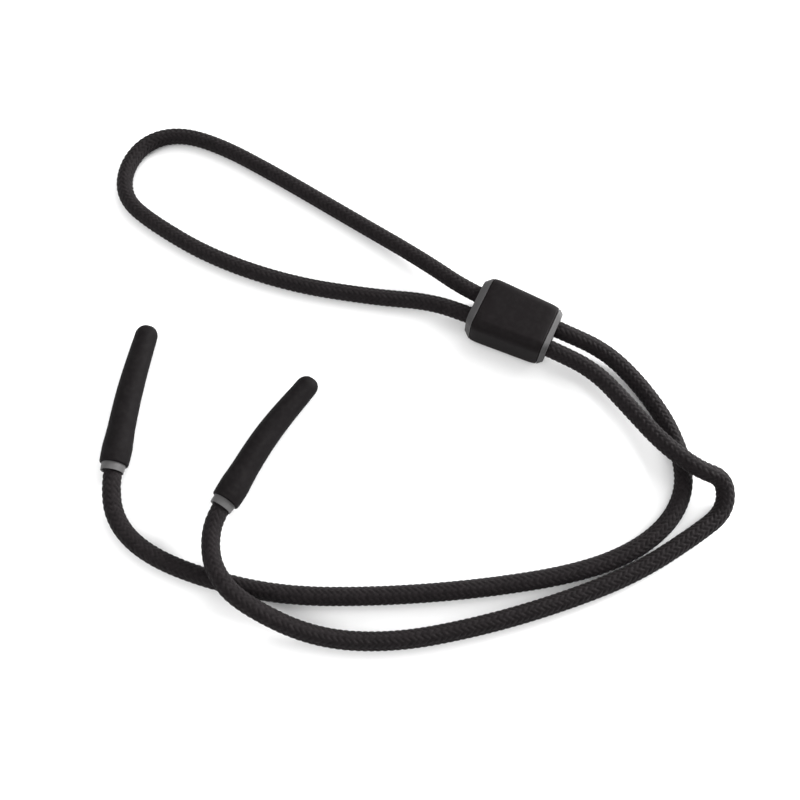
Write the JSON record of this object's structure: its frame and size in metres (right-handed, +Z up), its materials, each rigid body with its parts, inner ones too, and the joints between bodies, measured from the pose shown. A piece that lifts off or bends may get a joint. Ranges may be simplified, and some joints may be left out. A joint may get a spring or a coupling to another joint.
{
  "type": "eyeglass retainer strap",
  "caption": "Adjustable eyewear retainer: a braided cord drawn through a two-hole friction slider into a loop, with soft tapered silicone temple grips on its ends.",
  "frame": {"origin": "on the table top, under the middle of the box round the slider and the two grips, the free cord left out", "axes": "+Z up from the table; +X from the grips towards the slider, along the longer side of that box; +Y towards the loop"},
  "size_m": [0.1432, 0.1302, 0.0095],
  "materials": {
    "cord": "fine black round braid",
    "slider_shell": "black satin moulded",
    "slider_liner": "dark elastomer",
    "slider_cap": "grey satin moulded",
    "grip_sleeve": "black matte silicone",
    "grip_ferrule": "grey satin moulded"
  },
  "bodies": {
    "strap": {"cord_loop": "cord", "cord_tail_a": "cord", "cord_tail_b": "cord", "grip_sleeve_a": "grip_sleeve", "grip_sleeve_b": "grip_sleeve", "grip_ferrule_a": "grip_ferrule", "grip_ferrule_b": "grip_ferrule"},
    "slider": {"slider_shell": "slider_shell", "slider_liner": "slider_liner", "slider_cap_loop_side": "slider_cap", "slider_cap_tail_side": "slider_cap"}
  },
  "joints": [
    {"name": "slider_slide", "type": "slide", "parent": "strap", "child": "slider", "axis": [0.9026, -0.4305, 0], "range_m": [-0.03, 0.012], "deforming": ["cord_loop", "cord_tail_a", "cord_tail_b"]}
  ]
}
